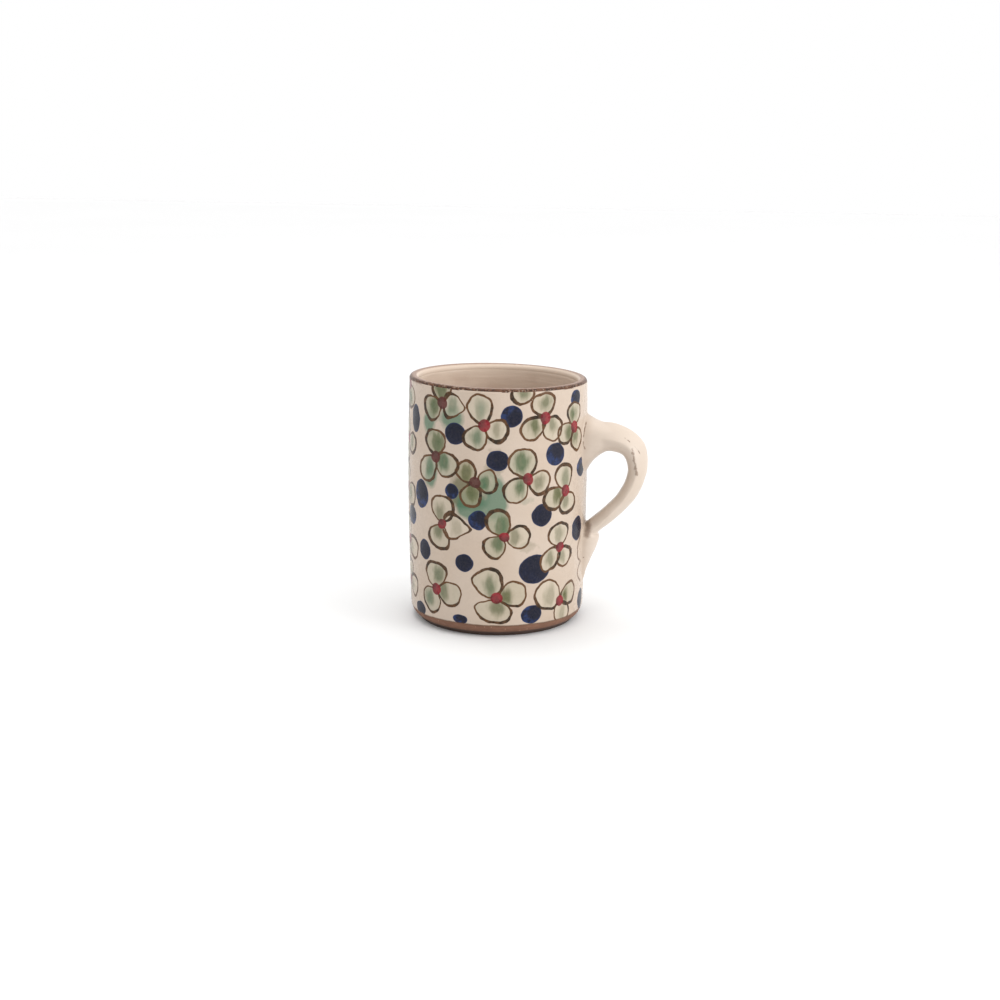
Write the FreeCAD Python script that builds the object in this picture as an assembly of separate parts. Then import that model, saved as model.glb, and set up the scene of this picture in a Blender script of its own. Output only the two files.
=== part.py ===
"""A hand-painted stoneware mug with one pulled strap handle, in millimetres.

The frame's origin is the middle of the foot, on the surface that the mug stands on. +Z is up and the
handle points along +X. Each clay piece and each glaze coat is a solid of its own, and they meet face to
face.
"""
import FreeCAD, Part
import math
import os

Vector = FreeCAD.Vector
UP = Vector(0, 0, 1)
ACROSS = Vector(0, 1, 0)

# ---- Driving dimensions ------------------------------------------------------------------------------
mug_height = 112.5

# Outside radii over the glaze: a nearly straight wall with a slight belly at half height.
foot_line_radius = 39.9
belly_radius = 41.0
rim_radius = 40.4

# The foot is bare clay up to the foot line, where the glaze stops. It stands on a ring, slopes outwards to
# the top of the undercut, and from there is rounded up to the foot line.
foot_line_height = 5.6
undercut_height = 1.9
undercut_radius = 37.4
standing_radius = 35.7
foot_ring_width = 7.0
foot_recess_depth = 1.6
foot_recess_bevel = 1.0
chamfer_middle_across = 0.75  # above the undercut the foot is rounded: this share of its width
chamfer_middle_up = 0.4       # is gained at this share of its height

lip_radius = 2.1            # the lip is a half round, as thick as the wall below it
floor_height = 6.5          # inside floor, over the liner glaze
floor_edge_radius = 35.2    # inside radius of the wall where it meets the floor's corner
inner_corner_radius = 11.0

coat = 0.4                  # thickness of every glaze coat, slip included
rim_coat_skirt = 0.6        # how far the brown lip coat reaches down past the half round

# The strap's middle line, from inside the wall at the upper root to inside it at the lower end:
# distance from the mug's axis, height, thickness and width of the strap.
strap_stations = [
    (36.0, 84.8, 13.6, 14.8),
    (44.5, 85.9, 13.4, 15.0),
    (52.9, 86.3, 12.2, 15.4),
    (60.9, 83.0, 10.5, 15.4),
    (64.4, 75.8, 8.6, 15.0),
    (63.6, 67.1, 7.5, 14.4),
    (59.4, 58.8, 6.9, 13.6),
    (52.9, 51.2, 6.6, 12.8),
    (45.6, 44.8, 6.4, 12.2),
    (36.0, 36.6, 6.2, 11.8),
]
# The strap's section is domed outside and fuller inside, with a soft ridge down each side between them:
# a half's height is (1 - side ** crown) ** slope.
outer_crown, outer_slope = 1.9, 0.85
inner_crown, inner_slope = 3.2, 0.62

# The clay smoothed round the upper root flares into the wall and dies away along the strap:
# distance from the mug's axis, height, tallness and width of each upright section.
root_stations = [
    (37.0, 82.5, 35.4, 19.0),
    (40.6, 83.1, 27.0, 17.4),
    (43.6, 84.6, 20.2, 16.4),
    (47.4, 85.6, 14.6, 15.6),
    (53.0, 86.2, 9.8, 12.8),
]
root_squareness = 2.2       # a superellipse: 2 is an ellipse, more has fuller corners

# The pressed tail under the lower end: height, how far it stands out from the mug's axis, and width.
tail_stations = [
    (40.9, 46.9, 11.4),
    (38.4, 47.2, 12.4),
    (31.9, 44.9, 12.0),
    (24.9, 42.0, 9.6),
    (18.4, 40.2, 6.0),
]
tail_back = 35.0            # the tail's hidden side, inside the wall, where it is cut away
tail_squareness = 2.0

section_points = 24         # points round each section of the handle


# ---- Outlines ----------------------------------------------------------------------------------------
lip_middle_radius = rim_radius - lip_radius
lip_middle_height = mug_height - lip_radius
rim_line_height = lip_middle_height - rim_coat_skirt
inner_lip_radius = rim_radius - 2.0 * lip_radius


def wall_radius(height):
    """Outside radius over the glaze at a height: a shallow bow from the foot line to the lip."""
    middle = (foot_line_height + mug_height) / 2.0
    part_way = (height - middle) / (mug_height - middle)
    straight = (foot_line_radius + rim_radius) / 2.0 + part_way * (rim_radius - foot_line_radius) / 2.0
    bow = belly_radius - (foot_line_radius + rim_radius) / 2.0
    return straight + bow * (1.0 - part_way ** 2)


def inside_radius(height):
    """Inside radius over the glaze, tapering evenly from the lip to the corner above the floor."""
    corner_top = floor_height + inner_corner_radius
    part_way = (height - corner_top) / (lip_middle_height - corner_top)
    return floor_edge_radius + part_way * (inner_lip_radius - floor_edge_radius)


def line(start, end):
    """A straight edge in the XZ plane, between two (radius, height) points."""
    return Part.makeLine(Vector(start[0], 0, start[1]), Vector(end[0], 0, end[1]))


def arc(start, middle, end):
    """An arc in the XZ plane through three (radius, height) points."""
    return Part.Arc(*[Vector(radius, 0, height) for radius, height in (start, middle, end)]).toShape()


def outside_arc(depth):
    """The outside of the wall from the foot line to the rim line, a depth below the glaze."""
    heights = (foot_line_height, (foot_line_height + rim_line_height) / 2.0, rim_line_height)
    return arc(*[(wall_radius(height) - depth, height) for height in heights])


def lip_outline(depth):
    """Over the lip, from the rim line outside to the rim line inside, a depth below the glaze."""
    half_round = lip_radius - depth
    outer = (lip_middle_radius + half_round, lip_middle_height)
    top = (lip_middle_radius, lip_middle_height + half_round)
    inner = (lip_middle_radius - half_round, lip_middle_height)
    return [
        line((wall_radius(rim_line_height) - depth, rim_line_height), outer),
        arc(outer, top, inner),
        line(inner, (inside_radius(rim_line_height) + depth, rim_line_height)),
    ]


def inside_outline(depth):
    """Down the inside wall, round the corner and along the floor to the axis."""
    corner_height = floor_height + inner_corner_radius
    corner_centre = floor_edge_radius - inner_corner_radius
    corner_radius = inner_corner_radius + depth
    diagonal = corner_radius * math.sqrt(0.5)
    corner_top = (corner_centre + corner_radius, corner_height)
    corner_middle = (corner_centre + diagonal, corner_height - diagonal)
    corner_foot = (corner_centre, corner_height - corner_radius)
    return [
        line((inside_radius(rim_line_height) + depth, rim_line_height), corner_top),
        arc(corner_top, corner_middle, corner_foot),
        line(corner_foot, (0.0, floor_height - depth)),
    ]


def foot_outline():
    """The bare clay foot, from the middle of its underside out to the foot line."""
    recess_edge = standing_radius - foot_ring_width
    clay_foot_line = wall_radius(foot_line_height) - coat
    chamfer_width = clay_foot_line - undercut_radius
    chamfer_middle = (
        undercut_radius + chamfer_middle_across * chamfer_width,
        undercut_height + chamfer_middle_up * (foot_line_height - undercut_height),
    )
    return [
        line((0.0, foot_recess_depth), (recess_edge - foot_recess_bevel, foot_recess_depth)),
        line((recess_edge - foot_recess_bevel, foot_recess_depth), (recess_edge, 0.0)),
        line((recess_edge, 0.0), (standing_radius, 0.0)),
        line((standing_radius, 0.0), (undercut_radius, undercut_height)),
        arc((undercut_radius, undercut_height), chamfer_middle, (clay_foot_line, foot_line_height)),
    ]


def spun(edges):
    """The solid of revolution about the mug's axis of a closed outline."""
    ordered = Part.__sortEdges__(edges)
    return Part.Face(Part.Wire(ordered)).revolve(Vector(0, 0, 0), UP, 360.0)


# ---- The thrown body and its coats -------------------------------------------------------------------
def make_clay_cup():
    axis = line((0.0, floor_height - coat), (0.0, foot_recess_depth))
    return spun(foot_outline() + [outside_arc(coat)] + lip_outline(coat) + inside_outline(coat) + [axis])


def make_filled_wall():
    """The clay wall as a solid plug, which cuts back whatever is joined to the outside."""
    top = line((wall_radius(rim_line_height) - coat, rim_line_height), (0.0, rim_line_height))
    axis = line((0.0, rim_line_height), (0.0, foot_line_height))
    bottom = line((0.0, foot_line_height), (wall_radius(foot_line_height) - coat, foot_line_height))
    return spun([outside_arc(coat), top, axis, bottom])


def make_outer_coat():
    low = wall_radius(foot_line_height)
    high = wall_radius(rim_line_height)
    bottom = line((low - coat, foot_line_height), (low, foot_line_height))
    top = line((high - coat, rim_line_height), (high, rim_line_height))
    return spun([outside_arc(0.0), top, outside_arc(coat), bottom])


def make_liner_glaze():
    radius = inside_radius(rim_line_height)
    top = line((radius, rim_line_height), (radius + coat, rim_line_height))
    axis = line((0.0, floor_height - coat), (0.0, floor_height))
    return spun(inside_outline(0.0) + inside_outline(coat) + [top, axis])


def make_rim_glaze():
    outer = wall_radius(rim_line_height)
    inner = inside_radius(rim_line_height)
    outer_edge = line((outer - coat, rim_line_height), (outer, rim_line_height))
    inner_edge = line((inner, rim_line_height), (inner + coat, rim_line_height))
    return spun(lip_outline(0.0) + lip_outline(coat) + [outer_edge, inner_edge])


# ---- The handle --------------------------------------------------------------------------------------
def superellipse(squareness):
    """Points round a full-cornered ellipse, as shares of its half width and half height."""
    shares = []
    for step in range(section_points):
        angle = 2.0 * math.pi * step / section_points
        side = math.copysign(abs(math.cos(angle)) ** (2.0 / squareness), math.cos(angle))
        rise = math.copysign(abs(math.sin(angle)) ** (2.0 / squareness), math.sin(angle))
        shares.append((side, rise))
    return shares


def ridged_outline():
    """Points round the strap's section, as shares of its half width and half thickness."""
    shares = []
    for step in range(section_points):
        angle = 2.0 * math.pi * step / section_points
        side = math.cos(angle)
        crown, slope = (outer_crown, outer_slope) if math.sin(angle) > 0 else (inner_crown, inner_slope)
        rise = max(1.0 - abs(side) ** crown, 0.0) ** slope
        shares.append((side, math.copysign(rise, math.sin(angle))))
    return shares


def section(centre, across, along, width, height, shares):
    """A closed wire in the plane of two unit vectors, through the points that the shares give."""
    points = [
        centre + across * (side * width / 2.0) + along * (rise * height / 2.0) for side, rise in shares
    ]
    curve = Part.BSplineCurve()
    curve.interpolate(Points=points, PeriodicFlag=True)
    return Part.Wire([curve.toShape()])


def lofted(stations, directions, shares, extra):
    """A loft through a section at each station, square to its direction, with extra thickness all round."""
    wires = []
    for (radius, height, thickness, width), forward in zip(stations, directions):
        centre = Vector(radius, 0, height)
        outward = forward.cross(ACROSS)
        wires.append(section(centre, ACROSS, outward, width + 2 * extra, thickness + 2 * extra, shares))
    return Part.makeLoft(wires, True, False)


def make_strap(extra):
    """The pulled strap, with its sections square to its middle line."""
    centres = [Vector(radius, 0, height) for radius, height, _, _ in strap_stations]
    middle_line = Part.BSplineCurve()
    middle_line.interpolate(centres)
    directions = [middle_line.tangent(middle_line.parameter(centre))[0] for centre in centres]
    return lofted(strap_stations, directions, ridged_outline(), extra)


def make_root(extra):
    """The clay round the upper root, with upright sections that face straight out from the wall."""
    return lofted(root_stations, [Vector(1, 0, 0)] * len(root_stations), superellipse(root_squareness), extra)


def make_tail(extra):
    """The pressed tail, a loft of level ellipses that die away down the wall."""
    shares = superellipse(tail_squareness)
    wires = []
    for height, reach, width in tail_stations:
        centre = Vector((reach + tail_back) / 2.0, 0, height)
        depth = reach - tail_back
        wires.append(section(centre, ACROSS, Vector(1, 0, 0), width + 2 * extra, depth + 2 * extra, shares))
    return Part.makeLoft(wires, True, False)


def make_handle(extra):
    """The strap, the flared root and the tail, each grown by an extra thickness."""
    return make_strap(extra), make_root(extra), make_tail(extra)


# ---- The pieces --------------------------------------------------------------------------------------
def make_pieces():
    plug = make_filled_wall()
    strap, root, tail = make_handle(0.0)
    clay_handle = strap.fuse([root, tail]).cut(plug)
    coated_strap, coated_root, coated_tail = make_handle(coat)
    coated_handle = coated_strap.fuse([coated_root, coated_tail]).cut(plug)
    return {
        "clay_cup": make_clay_cup(),
        "outer_glaze": make_outer_coat().cut(coated_handle),
        "liner_glaze": make_liner_glaze(),
        "rim_glaze": make_rim_glaze(),
        "handle_strap": strap.cut(plug),
        "upper_joint_clay": root.cut(plug).cut(strap),
        "lower_joint_clay": tail.cut(plug).cut(strap),
        "handle_glaze": coated_handle.cut(clay_handle),
    }


os.makedirs("parts", exist_ok=True)
for name, shape in make_pieces().items():
    shape.exportStep("parts/" + name + ".step")
    print(f"{name}: {len(shape.Solids)} solid, valid {shape.isValid()}, {shape.Volume / 1000:.2f} cm3")
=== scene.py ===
"""The looks of a hand-painted stoneware mug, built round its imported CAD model.

Sizes are in millimetres, in the CAD frame, and become metres when a mesh is made. A place on the wall is
(around, height): degrees from the handle, clockwise seen from above, and millimetres above the table.
"""

import math
import random

import bmesh
import bpy
import numpy as np
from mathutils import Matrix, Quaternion, Vector


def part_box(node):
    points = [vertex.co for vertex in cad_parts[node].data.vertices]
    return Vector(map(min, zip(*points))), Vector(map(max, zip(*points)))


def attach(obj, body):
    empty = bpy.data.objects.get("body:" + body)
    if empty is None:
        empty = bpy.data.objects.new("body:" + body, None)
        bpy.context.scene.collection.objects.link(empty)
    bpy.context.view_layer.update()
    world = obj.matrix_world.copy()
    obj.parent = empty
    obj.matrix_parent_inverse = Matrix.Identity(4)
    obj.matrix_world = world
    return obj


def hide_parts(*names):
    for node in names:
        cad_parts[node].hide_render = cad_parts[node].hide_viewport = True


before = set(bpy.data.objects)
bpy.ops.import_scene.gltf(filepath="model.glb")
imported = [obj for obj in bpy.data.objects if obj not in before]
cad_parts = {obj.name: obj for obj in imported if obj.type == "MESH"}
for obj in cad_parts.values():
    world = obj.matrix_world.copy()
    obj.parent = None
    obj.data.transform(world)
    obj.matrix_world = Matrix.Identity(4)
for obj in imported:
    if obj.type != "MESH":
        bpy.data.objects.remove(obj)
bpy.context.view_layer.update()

MM = 0.001
TURN = 2.0 * math.pi

# ---- Sizes of the CAD model
wall_low, wall_high = (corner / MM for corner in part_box("outer_glaze"))
mug_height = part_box("rim_glaze")[1].z / MM
foot_line_height = wall_low.z
rim_line_height = wall_high.z
coat = 0.4
floor_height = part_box("liner_glaze")[0].z / MM + coat

foot_line_radius = 39.9
belly_radius = wall_high.y
rim_radius = 40.4
lip_radius = 2.1
floor_edge_radius = 35.2
inner_corner_radius = 11.0
undercut_height = 1.9
undercut_radius = 37.4
standing_radius = 35.7
foot_ring_width = 7.0
foot_recess_depth = 1.6
foot_recess_bevel = 1.0

# The strap's middle line: distance from the axis, height, thickness and width of its sections.
strap_stations = [
    (36.0, 84.8, 13.6, 14.8),
    (44.5, 85.9, 13.4, 15.0),
    (52.9, 86.3, 12.2, 15.4),
    (60.9, 83.0, 10.5, 15.4),
    (64.4, 75.8, 8.6, 15.0),
    (63.6, 67.1, 7.5, 14.4),
    (59.4, 58.8, 6.9, 13.6),
    (52.9, 51.2, 6.6, 12.8),
    (45.6, 44.8, 6.4, 12.2),
    (36.0, 36.6, 6.2, 11.8),
]
# The flared upper root: distance from the axis, height, tallness and width of its upright sections.
root_stations = [
    (37.0, 82.5, 35.4, 19.0),
    (40.6, 83.1, 27.0, 17.4),
    (43.6, 84.6, 20.2, 16.4),
    (47.4, 85.6, 14.6, 15.6),
    (53.0, 86.2, 9.8, 12.8),
]
# The pressed tail below the strap: height, how far it stands out from the axis, and width.
tail_stations = [
    (40.9, 46.9, 11.4),
    (38.4, 47.2, 12.4),
    (31.9, 44.9, 12.0),
    (24.9, 42.0, 9.6),
    (18.4, 40.2, 6.0),
]
tail_back = 35.0
# The strap's section, with a crisper ridge than in CAD: a half's height is (1 - side ** crown) ** slope.
outer_crown, outer_slope = 1.75, 0.95
inner_crown, inner_slope = 3.2, 0.62
section_points = 48
handle_voxel = 0.42

# ---- The camera, and what the hand did to the form
camera_turn = 10.0          # degrees round from straight across the handle
camera_rise = 13.5          # degrees above the horizon
camera_distance = 772.5
camera_aim = (1.15, 0.20, 54.1)
camera_lean = 0.435         # degrees: the object stands a little askew in the frame
camera_lens = 60.06

rim_tilt = 0.55             # the rim is this much lower at the handle, and higher opposite
rim_nod = 0.55              # and this much higher on the side with the handle at its right
rim_tilt_from = 80.0        # height where the tilt begins
foot_waver = 0.28           # how far the glaze edge wanders up and down over the foot
brown_line_height = mug_height - 1.25  # where the lip's brown coat starts on the outside

# ---- The painting on the side with the handle at its right
# Each flower: around, height, brownness of its centre, and its petals.
# Each petal: turn (degrees anticlockwise from rightwards), length, width, fill (0 cream, 1 green all over),
# teal (0 olive, 1 teal) and, where its outline has a corner, the turn that the corner points to.
flowers = [
    (117, 105.4, 0.8,
     [(97, 9, 10.4, 0.8, 0.2), (-8, 9.9, 10.4, 0.25, 0.8, -8), (-155, 10.4, 10.6, 0.7, 0.3)]),
    (88.5, 96.9, 0.1, [(105, 12.6, 10.9, 0.2, 0.8), (-21, 9.8, 9.4, 0.2, 0.0), (-124, 11, 10.2, 0.4, 0.7)]),
    (67.5, 116.5, 0.0, [(-70, 9.5, 10, 0.4, 0.2)]),
    (49.5, 99.4, 0.0, [(98, 10, 12, 0.4, 0.1), (-50, 10, 10.6, 0.3, 0.1, -60), (-146, 12, 9.4, 0.5, 0.1)]),
    (24, 93.4, 0.0, [(90, 10, 10.5, 0.5, 0.2), (-68, 9.6, 9.6, 0.4, 0.2, -80), (-162, 10.6, 9, 0.5, 0.1)]),
    (122, 80.9, 0.8, [(93, 11, 11.4, 0.9, 0.3), (-24, 10.8, 11, 0.6, 0.7, -5), (-132, 13, 10.4, 0.4, 1.0)]),
    (94, 71.4, 0.9, [(132, 9.8, 8.8, 1.0, 0.0), (6, 8.8, 9.6, 0.8, 0.6), (-108, 10.4, 9.2, 1.0, 0.1)]),
    (61, 72.9, 0.1, [(108, 12.6, 12.6, 0.6, 0.5), (-19, 10, 10.6, 0.3, 0.0), (-137, 12, 10.4, 0.5, 0.4)]),
    (32.5, 65.4, 0.0, [(100, 11, 11, 0.3, 0.3), (-76, 9.4, 10.8, 0.3, 0.1), (-162, 12, 9.6, 0.6, 0.0)]),
    (117, 50.9, 0.2, [(90, 11.8, 12.4, 0.3, 0.1), (-4, 12.3, 11, 0.0, 0.0, -4), (-107, 10.6, 12, 0.4, 0.2)]),
    (75.5, 46.9, 0.0, [(111, 12, 10.4, 0.9, 0.5), (-1, 10.4, 10, 0.3, 0.0), (-134, 10, 9.6, 0.6, 0.4)]),
    (36.5, 39.9, 0.0, [(99, 9.8, 12, 0.2, 0.1), (-57, 9, 9.4, 0.2, 0.1), (-140, 11.6, 9, 0.3, 0.1, -120)]),
    (122.5, 19.9, 0.0,
     [(91, 11.5, 12.4, 0.4, 0.4), (-7, 12.6, 10.6, 0.4, 0.3), (-123, 10.4, 12, 0.4, 0.7, -95)]),
    (80, 18.9, 0.0,
     [(118, 13.2, 12.4, 0.4, 0.3, 162), (12, 12.6, 11, 0.5, 0.0), (-98, 10.6, 15.6, 0.4, 0.1, 165)]),
    (35, 14.4, 0.0, [(150, 14.4, 13, 0.1, 0.1, -70), (20, 11, 10, 0.5, 0.0), (-72, 10, 10, 0.1, 0.1, 140)]),
    (158, 37.9, 0.1, [(110, 11, 10, 0.2, 0.1), (-20, 11, 10, 0.1, 0.0), (-120, 11, 10, 0.3, 0.1)]),
    (159, 17.9, 0.1, [(90, 10, 10, 0.2, 0.1), (-5, 10, 10, 0.1, 0.1), (-130, 10, 10, 0.3, 0.2)]),
    (161, 61.9, 0.2, [(100, 11, 10, 0.3, 0.2), (-15, 11, 10, 0.4, 0.2), (-125, 11, 10, 0.3, 0.2)]),
    (159, 84.9, 0.2, [(115, 10, 10, 0.3, 0.3), (-10, 10, 9, 0.3, 0.3), (-115, 10, 10, 0.3, 0.1)]),
    (158, 109.9, 0.2, [(-60, 10, 10, 0.5, 0.3), (-150, 10, 10, 0.5, 0.3)]),
]

# Each blue dab: around, height, width and tallness.
dabs = [
    (144, 95.9, 8, 12.6), (107.5, 92.4, 10.5, 9.8), (71.5, 100.9, 10, 9.6), (22, 105.9, 8, 8),
    (80, 81.4, 10, 9.3), (41.5, 82.9, 10.5, 10.3), (14.5, 73.9, 8.4, 8.8), (136, 62.4, 10.3, 13.4),
    (109.5, 66.4, 6.7, 6.8), (92, 54.4, 9, 9.1), (51, 55.9, 10.3, 10.1), (18, 45.9, 9.8, 11.4),
    (133, 36.9, 8, 9.4), (101, 34.4, 8.6, 8.3), (55.5, 31.4, 15.4, 13.5), (140, 7.9, 9.2, 6.4),
    (104, 7.9, 7.4, 4.7), (57, 10.4, 10.3, 9), (7, 10.4, 8, 10),
]
# Where the copper green ran under the glaze: around, height, radius across, radius up, strength.
teal_runs = [
    (128, 95.9, 3.6, 5.5, 1.2), (110, 98.9, 6.0, 5.0, 1.2), (127, 71.4, 3.4, 5.0, 1.3),
    (122, 76.9, 3.0, 5.0, 0.6), (90, 60.4, 10.0, 6.0, 1.0), (79.5, 65.9, 3.6, 9.0, 1.1),
    (99, 60.9, 5.0, 5.0, 0.8), (60, 62.4, 6.0, 2.6, 0.5), (84, 89.9, 5.0, 2.6, 0.4),
]
olive_runs = [
    (104, 67.9, 5.0, 8.0, 1.0), (60.5, 41.9, 6.0, 3.0, 0.5), (96, 63.9, 8.0, 5.0, 0.9),
    (83, 76.9, 5.0, 4.0, 0.6), (82, 85.9, 4.0, 2.5, 0.4),
]
# Brown lines that belong to no petal: points of (around, height).
free_lines = [
    [(12.5, 41.3), (16.1, 36.4), (15.1, 31.8), (11.4, 29.7)],
    [(9.5, 29.2), (14.0, 26.4), (14.0, 23.0), (8.5, 19.1)],
    [(8.1, 93.6), (10.9, 90.8), (12.5, 87.0), (12.8, 84.2), (12.2, 81.8)],
]

# ---- Marks on the handle: points of lines in the frame
fine_lines = [
    [(59.1, -6.3, 87.1), (61.8, -6.6, 85.0), (65.5, -5.7, 80.8), (66.4, -5.2, 79.0)],
    [(41.4, -5.9, 93.6), (40.9, -7.9, 90.8), (40.6, -9.0, 87.0), (40.6, -9.2, 84.2), (41.4, -8.9, 81.8)],
    [(39.8, -8.0, 29.7), (41.4, -5.8, 30.4)],
]
rubbed_ridge = [(62.5, -7.7, 82.5), (63.1, -8.1, 79.9), (63.8, -7.9, 76.6), (65.0, -7.2, 70.6)]
# Painted shade: brown laid along the crease where the strap's lower end meets the wall.
lower_crevice_painted_shade = [(42.6, -3.0, 46.2), (43.3, -5.5, 45.3), (43.2, -6.2, 43.1), (42.7, -5.9, 41.1)]


# ---- Form: outlines and the wobble of a thrown wall
def wall_radius(height):
    """Outside radius over the glaze above the foot line: a shallow bow up to the lip."""
    middle = (foot_line_height + mug_height) / 2.0
    part_way = (height - middle) / (mug_height - middle)
    straight = (foot_line_radius + rim_radius) / 2.0 + part_way * (rim_radius - foot_line_radius) / 2.0
    bow = belly_radius - (foot_line_radius + rim_radius) / 2.0
    return straight + bow * (1.0 - part_way ** 2)


def foot_radius(height):
    """Outside radius of the bare clay foot: undercut at the bottom, then rounded up to the foot line."""
    if height < undercut_height:
        return standing_radius + (undercut_radius - standing_radius) * height / undercut_height
    share = min((height - undercut_height) / (foot_line_height - undercut_height), 1.0)
    widest = foot_line_radius - coat
    return undercut_radius + (widest - undercut_radius) * math.sin(share * math.pi / 2.0) ** 0.8


def inside_profile(depth, steps):
    """Points down the inside wall, round the corner and in to the axis, a depth behind the glaze."""
    corner_top = floor_height + inner_corner_radius
    top_radius = rim_radius - 2.0 * lip_radius
    heights = np.linspace(rim_line_height, corner_top, steps)
    share = (heights - corner_top) / (rim_line_height - corner_top)
    points = list(zip(floor_edge_radius + share * (top_radius - floor_edge_radius) + depth, heights))
    centre = floor_edge_radius - inner_corner_radius
    reach = inner_corner_radius + depth
    for angle in np.linspace(0.0, math.pi / 2.0, 14)[1:]:
        points.append((centre + reach * math.cos(angle), corner_top - reach * math.sin(angle)))
    return points + [(radius, floor_height - depth) for radius in np.linspace(centre, 0.0, 16)[1:]]


def lip_profile(depth, steps=14, lowest=0.0):
    """Points over the lip, from outside to inside, a depth below the glaze: fuller outside than inside.
    It starts outside at a share of the lip's rise, from 0 at its foot to 1 at its top."""
    middle = rim_radius - lip_radius
    reach = lip_radius - depth
    points = []
    for angle in np.linspace(math.asin(lowest), math.pi, steps):
        fullness = 2.7 if angle < math.pi / 2.0 else 2.1
        across = math.copysign(abs(math.cos(angle)) ** (2.0 / fullness), math.cos(angle))
        rise = math.sin(angle) ** (2.0 / fullness)
        points.append((middle + reach * across, mug_height - lip_radius + reach * rise))
    return points


def thrown(points):
    """The wobble that a potter's hands leave: a little out of round, with a faint spiral and a tilted rim."""
    x, y, z = points.T
    polar = np.arctan2(y, x)
    swell = 0.10 * np.sin(2 * polar + 0.8 + z / 60) + 0.05 * np.sin(3 * polar - z / 24)
    spiral = 0.035 * np.sin(TURN * z / 6.3 + polar) + 0.015 * np.sin(TURN * z / 2.3 + 2 * polar)
    radius = np.maximum(np.hypot(x, y), 1e-6)
    grown = 1.0 + (swell + spiral) * np.minimum(radius / 40.0, 1.0) / radius
    share = np.clip((z - rim_tilt_from) / (mug_height - rim_tilt_from), 0.0, 1.0)
    lifted = (-rim_tilt * x - rim_nod * y) / rim_radius * share * share * (3 - 2 * share)
    return np.column_stack([x * grown, y * grown, z + lifted])


def add_object(name, data):
    made = bpy.data.objects.new(name, data)
    bpy.context.scene.collection.objects.link(made)
    return made


def make_object(name, points, faces, body=None):
    mesh = bpy.data.meshes.new(name)
    mesh.from_pydata([tuple(p) for p in np.asarray(points) * MM], [], faces)
    mesh.update()
    mesh.shade_smooth()
    piece = add_object(name, mesh)
    if body:
        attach(piece, body)
    return piece


def lathe(name, profile, segments, closed):
    """Spins (radius, height) points about the axis. A closed profile is a ring; an open one starts and
    ends on the axis, where its faces meet in a point. A height may be a function of the angle."""
    points = []
    faces = []
    rings = []
    for radius, height in profile:
        count = segments if radius > 1e-6 else 1
        rings.append([len(points) + k % count for k in range(segments)])
        for angle in np.arange(count) * TURN / segments:
            level = height(angle) if callable(height) else height
            points.append((radius * math.cos(angle), radius * math.sin(angle), level))
    for lower, upper in zip(rings, rings[1:] + (rings[:1] if closed else [])):
        for k in range(segments):
            n = (k + 1) % segments
            faces.append(list(dict.fromkeys([lower[k], lower[n], upper[n], upper[k]])))
    piece = make_object(name, thrown(np.array(points)), faces, "root")
    face_outwards(piece)
    return piece


def face_outwards(piece):
    edit = bmesh.new()
    edit.from_mesh(piece.data)
    bmesh.ops.recalc_face_normals(edit, faces=edit.faces)
    edit.to_mesh(piece.data)
    edit.free()


# ---- The thrown pieces
def waver(angle):
    """How far the glaze edge stands above its level line at an angle, or at many, round the foot."""
    slow = np.sin(3 * angle + 0.4) + 0.7 * np.sin(7 * angle + 2.0) + 0.4 * np.sin(17 * angle)
    return foot_waver * slow / 2.1


def make_thrown_clay():
    recess_edge = standing_radius - foot_ring_width
    recess_inner = recess_edge - foot_recess_bevel
    profile = [(0.0, foot_recess_depth)]
    for radius in np.arange(0.8, recess_inner - 0.6, 0.8):
        profile.append((radius, foot_recess_depth + 0.07 * math.sin(TURN * radius / 3.2)))
    profile += [
        (recess_inner - 0.3, foot_recess_depth),
        (recess_inner, foot_recess_depth - 0.1),
        (recess_edge - 0.12, 0.14),
        (recess_edge + 0.1, 0.0),
    ]
    profile += [(radius, 0.0) for radius in np.linspace(recess_edge + 0.8, standing_radius - 0.5, 8)]
    profile.append((standing_radius - 0.12, 0.0))
    for height in np.linspace(0.12, foot_line_height + 0.6, 25):
        profile.append((foot_radius(height) + 0.05 * math.sin(TURN * height / 1.3), height))
    for height in np.linspace(foot_line_height + 3.0, rim_line_height, 30):
        profile.append((wall_radius(height) - coat, height))
    profile += lip_profile(coat) + inside_profile(coat, 30)
    return lathe("thrown_clay", profile, 256, closed=False)


def make_painted_wall():
    """The painted coat, from its wandering edge over the foot up to the brown line on the lip."""
    low = foot_line_height
    rounded_edge = [(coat, 0.0), (0.22, -0.02), (0.08, 0.04), (0.01, 0.16), (0.0, 0.4)]
    profile = []
    for depth, lift in rounded_edge:
        profile.append((foot_line_radius - depth, lambda angle, lift=lift: low + lift + waver(angle)))
    for height in np.linspace(low + 1.0, mug_height - lip_radius, 112):
        profile.append((wall_radius(height), height))
    profile += [(rim_radius - 0.01, brown_line_height - 0.02), (rim_radius - coat, brown_line_height)]
    for height in np.linspace(mug_height - lip_radius, low + 1.0, 24):
        profile.append((wall_radius(height) - coat, height))
    return lathe("painted_glaze", profile, 384, closed=True)


def make_liner():
    outer = inside_profile(0.0, 60)
    inner = inside_profile(coat, 20)
    under_lip = (rim_radius - 2.0 * lip_radius + 0.2, rim_line_height + 0.5)
    profile = outer[::-1] + [under_lip] + inner
    return lathe("liner", profile, 256, closed=False)


def wandering(height):
    """A height that wanders a little round the lip."""
    return lambda angle: height + 0.12 * math.sin(9 * angle) + 0.08 * math.sin(23 * angle + 1)


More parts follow.
